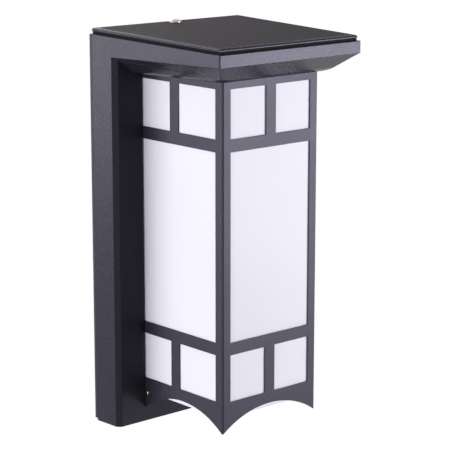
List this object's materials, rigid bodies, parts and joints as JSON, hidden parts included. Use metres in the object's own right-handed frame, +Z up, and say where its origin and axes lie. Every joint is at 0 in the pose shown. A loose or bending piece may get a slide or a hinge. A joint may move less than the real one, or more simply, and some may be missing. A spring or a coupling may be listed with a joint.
{
  "type": "outdoor wall light",
  "caption": "Arts-and-crafts outdoor wall light: drafted back box and canopy with a lift-off lid, and a folded lantern frame with opal panes over an LED tray.",
  "frame": {"origin": "middle of the back, on the wall", "axes": "+Z up, +Y into the wall, +X to the right of someone who faces the light"},
  "size_m": [0.1598, 0.151, 0.3308],
  "materials": {
    "housing_paint": "satin charcoal paint on die-cast aluminium",
    "lid_paint": "fine-textured matte charcoal paint",
    "frame_paint": "satin charcoal paint on steel sheet",
    "bright_screw": "polished",
    "opal": "opal acrylic, slightly glossy",
    "plate_paint": "satin charcoal paint on steel sheet",
    "zinc_steel": "zinc-plated",
    "zinc_screw": "zinc-plated",
    "black_screw": "black zinc",
    "white_paint": "white powder coat",
    "board": "white solder mask",
    "chip": "phosphor",
    "driver_case": "moulded, fine-textured",
    "seal": "matte",
    "terminal": "moulded",
    "ground_brass": "plain",
    "lead": "insulation"
  },
  "bodies": {
    "housing": {"base_clips": "zinc_steel", "cable_grommet": "seal", "corner_angles": "zinc_steel", "diffuser_base": "opal", "diffuser_front": "opal", "diffuser_left": "opal", "diffuser_right": "opal", "driver_screws": "zinc_screw", "frame_side_screws": "bright_screw", "frame_top_screws": "zinc_screw", "ground_screw": "ground_brass", "housing": "housing_paint", "housing_screws": "black_screw", "lantern_frame": "frame_paint", "led_board_left": "board", "led_board_right": "board", "led_chips": "chip", "led_driver": "driver_case", "led_tray": "white_paint", "led_tray_screws": "zinc_screw", "lid_gasket": "seal", "output_leads": "lead", "supply_leads": "lead", "terminal_block": "terminal", "terminal_block_screw": "zinc_screw", "wall_gasket": "seal", "wall_plate": "plate_paint"},
    "lid": {"top_lid": "lid_paint"},
    "lid_screw": {"lid_screw": "bright_screw"}
  },
  "joints": [
    {"name": "lid_lift", "type": "slide", "parent": "housing", "child": "lid", "axis": [0, -0.0295, 0.9996], "range_m": [0, 0.03]},
    {"name": "lid_screw_turn", "type": "hinge", "parent": "lid", "child": "lid_screw", "pos_m": [0, -0.011, 0.16057], "axis": [0, -0.0295, 0.9996], "continuous": true}
  ]
}
